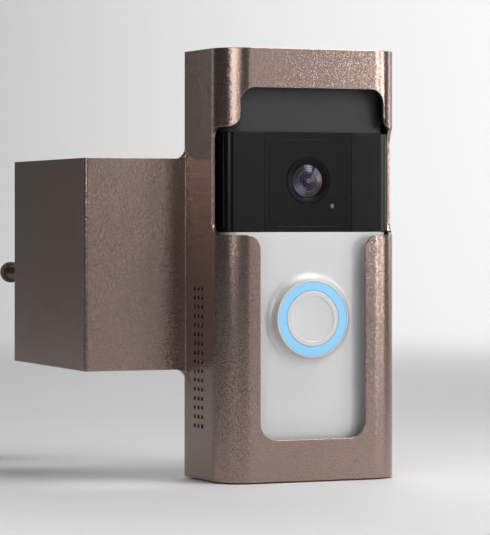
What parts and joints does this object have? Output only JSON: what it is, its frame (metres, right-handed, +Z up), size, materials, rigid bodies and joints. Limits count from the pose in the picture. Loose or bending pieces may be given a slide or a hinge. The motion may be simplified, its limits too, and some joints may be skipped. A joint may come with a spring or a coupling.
{
  "type": "video doorbell",
  "caption": "Battery video doorbell inside a bent-steel anti-theft shield whose arm clamps over the edge of a door without drilling.",
  "frame": {"origin": "on the door's face, at the middle of the shield's back", "axes": "+X to the right as seen by a visitor, +Y into the door, +Z up; the camera looks along -Y"},
  "size_m": [0.1086, 0.1374, 0.15],
  "materials": {
    "bronze_paint": "warm bronze powder coat with metal flake",
    "galvanised": "zinc-plated steel sheet",
    "black_steel": "black oxide steel",
    "bronze_bolt": "dark bronze-coated steel bolt",
    "zinc": "bright zinc plating",
    "rubber": "soft black rubber",
    "foam": "thin black foam sheet",
    "case_plastic": "moulded matt black",
    "cap_plastic": "fine-textured dark grey",
    "gloss_black": "polished black",
    "pane": "polished smoked black pane",
    "lens": "coated lens glass",
    "lens_black": "satin black ring",
    "satin_silver": "satin silver",
    "light_guide": "milky light guide, lit pale blue",
    "button_plastic": "satin silver plastic",
    "circuit_board": "green solder mask",
    "tin": "tinned steel",
    "chip_black": "black epoxy",
    "aluminium": "plain aluminium",
    "thermal_grey": "grey thermal pad",
    "copper_film": "copper on amber film",
    "sensor_white": "white light pipe",
    "lamp_clear": "clear lamp resin",
    "orange_plastic": "orange plastic",
    "battery_plastic": "moulded dark grey",
    "gold_contact": "gold-flashed spring contact"
  },
  "bodies": {
    "shield": {"shield_arm": "bronze_paint", "back_plate": "black_steel", "shield_screws": "zinc", "back_pad": "foam", "leg_pad": "foam", "edge_pad": "foam", "rivet_nuts": "zinc", "doorbell_bracket": "case_plastic", "bracket_screws": "zinc", "rear_case": "case_plastic", "case_gasket": "rubber", "case_screws": "zinc", "terminal_screws": "zinc", "front_frame": "case_plastic", "head_cover": "gloss_black", "camera_window": "pane", "lens_bezel": "lens_black", "lens_glass": "lens", "lens_barrel": "lens_black", "lens_elements": "lens", "camera_board": "circuit_board", "light_sensor": "sensor_white", "motion_sensors": "tin", "infrared_lamps": "lamp_clear", "top_cap": "cap_plastic", "faceplate": "satin_silver", "security_screw": "black_steel", "light_ring": "light_guide", "button_board": "circuit_board", "ring_lamps": "lamp_clear", "push_switches": "chip_black", "main_board": "circuit_board", "board_screws": "zinc", "radio_cans": "tin", "chips": "chip_black", "heat_spreader": "aluminium", "thermal_pad": "thermal_grey", "antenna": "copper_film", "microphones": "tin", "speaker": "chip_black", "speaker_gasket": "foam", "battery_pack": "battery_plastic", "battery_contacts": "gold_contact"},
    "pressure_clamp": {"pressure_plate": "black_steel", "pressure_pad": "rubber"},
    "bolt_near": {"clamp_bolt_near": "bronze_bolt"},
    "bolt_far": {"clamp_bolt_far": "bronze_bolt"},
    "call_button": {"button_cap": "button_plastic"},
    "setup_key": {"setup_button": "orange_plastic"},
    "latch": {"battery_latch": "orange_plastic"}
  },
  "joints": [
    {"name": "clamp_slide", "type": "slide", "parent": "shield", "child": "pressure_clamp", "axis": [0, -1, 0], "range_m": [-0.0048, 0.0208]},
    {"name": "bolt_near_turn", "type": "hinge", "parent": "pressure_clamp", "child": "bolt_near", "pos_m": [-0.0672, 0.08, -0.0045], "axis": [0, -1, 0], "range_deg": [-2165, 9365]},
    {"name": "bolt_far_turn", "type": "hinge", "parent": "pressure_clamp", "child": "bolt_far", "pos_m": [-0.0522, 0.08, 0.0045], "axis": [0, -1, 0], "range_deg": [-2165, 9365]},
    {"name": "button_press", "type": "slide", "parent": "shield", "child": "call_button", "axis": [0, 1, 0], "range_m": [0, 0.0008], "stiffness_N_per_m": 1500, "springref_m": -0.0004},
    {"name": "setup_press", "type": "slide", "parent": "shield", "child": "setup_key", "axis": [0, 1, 0], "range_m": [0, 0.0005], "stiffness_N_per_m": 800, "springref_m": -0.0004},
    {"name": "latch_slide", "type": "slide", "parent": "shield", "child": "latch", "axis": [0, 0, 1], "range_m": [0, 0.0015], "stiffness_N_per_m": 300, "springref_m": -0.002}
  ],
  "couplings": [
    {"joint": "bolt_near_turn", "follows": "clamp_slide", "rad_per_m": 7854},
    {"joint": "bolt_far_turn", "follows": "clamp_slide", "rad_per_m": 7854}
  ]
}
